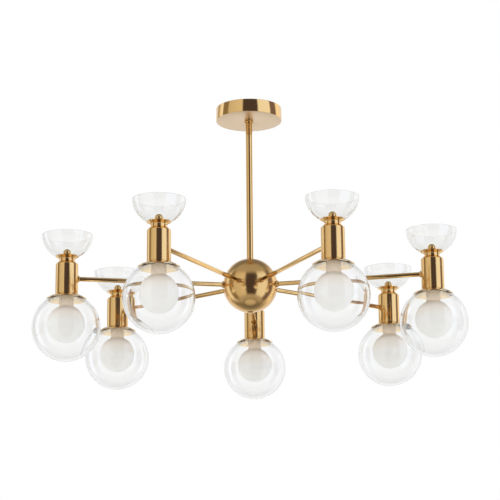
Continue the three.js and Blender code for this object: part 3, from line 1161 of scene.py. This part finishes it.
@dataclass
class Bowls(Assembly):
    """Saucer, glass bowl, washer and ball nut on top of each cup."""

    stud_radius: float = 2.5 * MM
    foot_radius: float = 12.9 * MM
    rim_radius: float = 20.5 * MM
    lip: float = 1.0 * MM
    seat_gap: float = 0.15 * MM
    bowl_radius: float = 45 * MM
    bowl_wall: float = 1.8 * MM
    bowl_hole: float = 4.5 * MM
    ball_radius: float = 7 * MM
    flange_radius: float = 5 * MM
    flange_height: float = 1.5 * MM
    washer: float = 0.9 * MM
    facets: int = 96

    @property
    def bowl_centre(self) -> float:
        """Height of the centre of the bowl's sphere."""
        return dome_height(self.layout.low("glass_bowl"), self.bowl_radius, self.bowl_hole)

    def saucer(self) -> None:
        """Flared brass saucer under the bowl."""
        foot = self.layout.high("lamp_cup") + 0.05 * MM
        hole = self.stud_radius + 0.3 * MM
        seat = self.bowl_radius + self.seat_gap
        under = arc(self.bowl_centre, seat, angle_at(seat, self.rim_radius, False),
                    angle_at(seat, hole, False), 12)
        rim_top = under[0][1]
        flare = ease((self.foot_radius, foot + 0.9 * MM), (self.foot_radius + 0.3 * MM, rim_top - 3.6 * MM),
                     (self.rim_radius, rim_top - self.lip), 12)
        piece = turn("bowl_saucer", [(hole, foot), (self.foot_radius, foot), *flare, *under], self.facets)
        soften(piece, 0.3 * MM, 3, angle=40.0)
        self.fit_lamps(piece, POLISHED, Body.FIXTURE, "saucer")

    def bowl(self) -> None:
        """Open half ball of clear glass with a fire-polished rim."""
        inner = self.bowl_radius - self.bowl_wall
        hole = self.bowl_hole
        half = self.bowl_wall / 2
        rim = self.layout.high("glass_bowl") - half
        drop = self.bowl_centre - rim
        angle = math.degrees(math.acos(drop / self.bowl_radius))
        outside = arc(self.bowl_centre, self.bowl_radius, angle_at(self.bowl_radius, hole, False), angle, 30)
        middle = outside[-1][0] - half
        lip = [(middle + half * math.cos(math.radians(turn_by)),
                rim + half * math.sin(math.radians(turn_by))) for turn_by in (36, 72, 108, 144)]
        angle = math.degrees(math.acos(drop / inner))
        inside = arc(self.bowl_centre, inner, angle, angle_at(inner, hole, False), 30)
        piece = turn("bowl_glass", [*outside, *lip, *inside], self.facets)
        smooth(piece, 60.0)
        self.fit_lamps(piece, BOWL_GLASS, Body.FIXTURE, "glass_bowl")

    def ball_nut(self) -> None:
        """Ball-shaped nut on its stud, and the soft washer that it presses on the glass."""
        inner = self.bowl_radius - self.bowl_wall
        glass = self.bowl_centre - math.sqrt(inner**2 - self.flange_radius**2)
        foot = glass + self.washer
        top = foot + self.flange_height
        stud_end = self.layout.low("ball_nut")
        neck = self.flange_radius * 0.55
        ball_centre = top + math.sqrt(self.ball_radius**2 - neck**2)
        outline = [
            (0.0, stud_end),
            (self.stud_radius, stud_end),
            (self.stud_radius, foot),
            (self.flange_radius, foot),
            (self.flange_radius, top),
            *arc(ball_centre, self.ball_radius, angle_at(self.ball_radius, neck, False), 180.0, 22),
        ]
        piece = turn("ball_finial", outline, 48)
        soften(piece, 0.2 * MM, 2, angle=45.0)
        self.fit_lamps(piece, POLISHED, Body.FINIAL, "ball_nut")
        hole = self.stud_radius + 0.2 * MM
        outer = self.flange_radius + 0.8 * MM
        ring = [(hole, glass + 0.1 * MM), (outer, glass + 0.15 * MM), (outer, foot - 0.05 * MM),
                (hole, foot - 0.05 * MM)]
        washer = turn("bowl_washer", ring, 40)
        soften(washer, 0.2 * MM, 2)
        self.fit_lamps(washer, SILICONE, Body.FIXTURE)

    def build(self) -> None:
        """Makes everything above the cups."""
        self.saucer()
        self.bowl()
        self.ball_nut()


# --- shades


@dataclass
class Shades(Assembly):
    """Clear globe and frosted diffuser, fused at the neck."""

    globe_radius: float = 60 * MM
    globe_wall: float = 2 * MM
    diffuser_radius: float = 33 * MM
    diffuser_wall: float = 1.5 * MM
    neck_radius: float = 12.5 * MM
    facets: int = 112

    def globe(self) -> None:
        """Clear ball of thin glass, open at the neck."""
        mouth = self.neck_radius + 0.08 * MM
        inner = self.globe_radius - self.globe_wall
        centre = self.layout.low("glass_globe") + self.globe_radius
        outside = arc(centre, self.globe_radius, 0.0, angle_at(self.globe_radius, mouth, True), 56)
        inside = arc(centre, inner, angle_at(inner, mouth, True), 0.0, 56)
        piece = turn("globe_glass", [*outside, *inside], self.facets)
        smooth(piece, 50.0)
        self.fit_lamps(piece, GLOBE_GLASS, Body.SHADE, "glass_globe")

    def diffuser(self) -> None:
        """Frosted ball with a straight neck."""
        centre = self.layout.low("frosted_diffuser") + self.diffuser_radius
        blend = 3.0 * MM

        def wall(radius: float, neck: float) -> Outline:
            """One face of the glass, from the lower pole up to the start of the neck.

            Args:
                radius: radius of the ball.
                neck: radius of the neck.

            Returns:
                The points.
            """
            ball = arc(centre, radius, 0.0, angle_at(radius, neck + blend, True), 30)
            corner = (neck, dome_height(centre, radius, neck))
            return ball[:-1] + ease(ball[-1], corner, (neck, corner[1] + blend), 6)

        outside = wall(self.diffuser_radius, self.neck_radius)
        inside = wall(self.diffuser_radius - self.diffuser_wall, self.neck_radius - self.diffuser_wall)
        top = self.layout.high("frosted_diffuser")
        outline = [*outside, (self.neck_radius, top), (self.neck_radius - self.diffuser_wall, top),
                   *reversed(inside)]
        piece = turn("diffuser_glass", outline, 80)
        smooth(piece, 50.0)
        self.fit_lamps(piece, FROSTED, Body.SHADE, "frosted_diffuser")

    def build(self) -> None:
        """Makes the glass below the cups."""
        self.globe()
        self.diffuser()


# --- studio


@dataclass
class Studio:
    """Soft surround, floor and camera."""

    arm_height: float
    floor_drop: float = 1.35
    floor_size: float = 9.0
    camera_distance: float = 3.4
    camera_azimuth: float = 1.3
    camera_elevation: float = -13.3
    camera_tilt: float = 1.08
    camera_roll: float = 0.5
    half_view: float = 7.525

    def surround(self) -> None:
        """White to the camera; soft bright and dark panels to what reflects it."""
        world = bpy.data.worlds.new("soft_studio")
        bpy.context.scene.world = world
        world.use_nodes = True
        nodes = Nodes(world.node_tree)
        direction = nodes.add("ShaderNodeTexCoord").outputs["Generated"]
        axes = nodes.add("ShaderNodeSeparateXYZ", inputs={0: direction}).outputs
        back = nodes.math("MULTIPLY", axes[1], -1.0)
        turn_round = nodes.math("ARCTAN2", axes[0], back)
        around = nodes.math("MULTIPLY_ADD", turn_round, 1 / (2 * math.pi), 0.5)
        # Each stop is degrees round from the front, brightness and tint.
        plain, dark, pale, amber = grey(1.0), (1.2, 1.0, 1.25), (1.0, 1.13, 1.4), (1.0, 0.85, 0.6)
        bands = [
            (-180, 0.95, plain), (-142, 0.93, plain), (-136, 0.55, plain), (-122, 0.55, plain),
            (-117, 1.15, plain), (-103, 1.15, pale), (-99, 0.31, amber), (-77, 0.31, amber),
            (-73, 0.72, plain), (-22, 0.88, plain), (-18, 0.07, dark), (31, 0.07, dark),
            (35, 1.05, pale), (79, 1.10, pale), (83, 0.19, dark), (108, 0.19, dark),
            (113, 1.20, plain), (138, 1.10, plain), (144, 0.93, plain), (180, 0.95, plain),
        ]
        panels = nodes.ramp(around, [
            ((angle + 180) / 360, tuple(value * channel / 2 for channel in tint))
            for angle, value, tint in bands])
        height = nodes.math("MULTIPLY_ADD", axes[2], 0.5, 0.5)
        # The panels stop above and below, where an even grey takes over.
        tall = nodes.ramp(height, [
            (0.0, grey(0.0)), (0.10, grey(0.0)), (0.15, grey(1.0)), (0.80, grey(1.0)), (0.90, grey(0.0))])
        ends = nodes.ramp(height, [
            (0.0, grey(0.36)), (0.02, grey(0.33)), (0.035, grey(0.15)), (0.06, grey(0.26)),
            (0.5, grey(0.36)), (0.85, grey(0.26)), (1.0, grey(0.24))])
        soft = nodes.add("ShaderNodeMix", data_type="RGBA", inputs={0: tall, 6: ends, 7: panels})
        # Behind the light the steep parts are dimmer.
        behind = nodes.add("ShaderNodeMapRange", inputs={0: axes[1], 1: 0.0, 2: 0.3}).outputs[0]
        steep = nodes.add("ShaderNodeMapRange", inputs={
            0: nodes.math("ABSOLUTE", axes[2]), 1: 0.45, 2: 0.65}).outputs[0]
        strength = nodes.math("MULTIPLY_ADD", nodes.math("MULTIPLY", behind, steep), -1.0, 2.0)
        lit = nodes.add("ShaderNodeBackground", inputs={0: soft.outputs[2], 1: strength})
        # Only what is mirrored or refracted sees the panels.
        path = nodes.add("ShaderNodeLightPath").outputs
        scattered = nodes.math("MINIMUM", path["Diffuse Depth"], 1.0)
        even = nodes.add("ShaderNodeBackground", inputs={
            0: (1.0, 1.0, 1.0, 1.0), 1: nodes.math("MULTIPLY_ADD", scattered, 0.5, 1.0)})
        uneven = nodes.math("SUBTRACT", nodes.math("SUBTRACT", 1.0, path["Is Camera Ray"]), scattered)
        mixed = nodes.add("ShaderNodeMixShader", inputs={0: uneven, 1: even.outputs[0], 2: lit.outputs[0]})
        nodes.add("ShaderNodeOutputWorld", inputs={0: mixed.outputs[0]})

    def floor(self) -> None:
        """Plain pale floor below the light."""
        deselect()
        bpy.ops.mesh.primitive_plane_add(size=self.floor_size,
                                         location=(0, 0, self.arm_height - self.floor_drop))
        floor = bpy.context.object
        floor.name = "studio_floor"
        material, _, shader = new_material("pale_floor")
        shader.inputs["Base Color"].default_value = (0.86, 0.86, 0.85, 1.0)
        shader.inputs["Roughness"].default_value = 0.9
        floor.data.materials.append(material)
        floor.visible_glossy = False

    def camera(self) -> None:
        """Camera a little below the arms, looking slightly up."""
        azimuth, elevation = math.radians(self.camera_azimuth), math.radians(self.camera_elevation)
        target = up(self.arm_height)
        offset = Vector((math.cos(elevation) * math.sin(azimuth),
                         -math.cos(elevation) * math.cos(azimuth), math.sin(elevation)))
        data = bpy.data.cameras.new("camera")
        camera = bpy.data.objects.new("camera", data)
        bpy.context.collection.objects.link(camera)
        aim = (-offset).to_track_quat("-Z", "Y").to_matrix().to_4x4()
        tilt = Matrix.Rotation(math.radians(self.camera_tilt), 4, "X")
        roll = Matrix.Rotation(math.radians(-self.camera_roll), 4, "Z")
        place = Matrix.Translation(target + offset * self.camera_distance)
        camera.matrix_world = place @ aim @ tilt @ roll
        data.angle = 2 * math.radians(self.half_view)
        data.clip_end = 50.0
        bpy.context.scene.camera = camera

    def build(self) -> None:
        """Sets up everything round the light."""
        self.surround()
        self.floor()
        self.camera()
        bpy.context.scene.view_settings.view_transform = "Standard"


def main() -> None:
    """Builds the light piece by piece."""
    logging.basicConfig(level=logging.INFO, format="%(message)s")
    layout = Layout.read()
    paint = Paint()
    Studio(layout.arm_height).build()
    for assembly in (CeilingEnd, RodAndHub, Arms, Cups, Bowls, Shades):
        assembly(layout, paint).build()
        LOG.info("%s done", assembly.__name__)


if __name__ == "__main__":
    main()
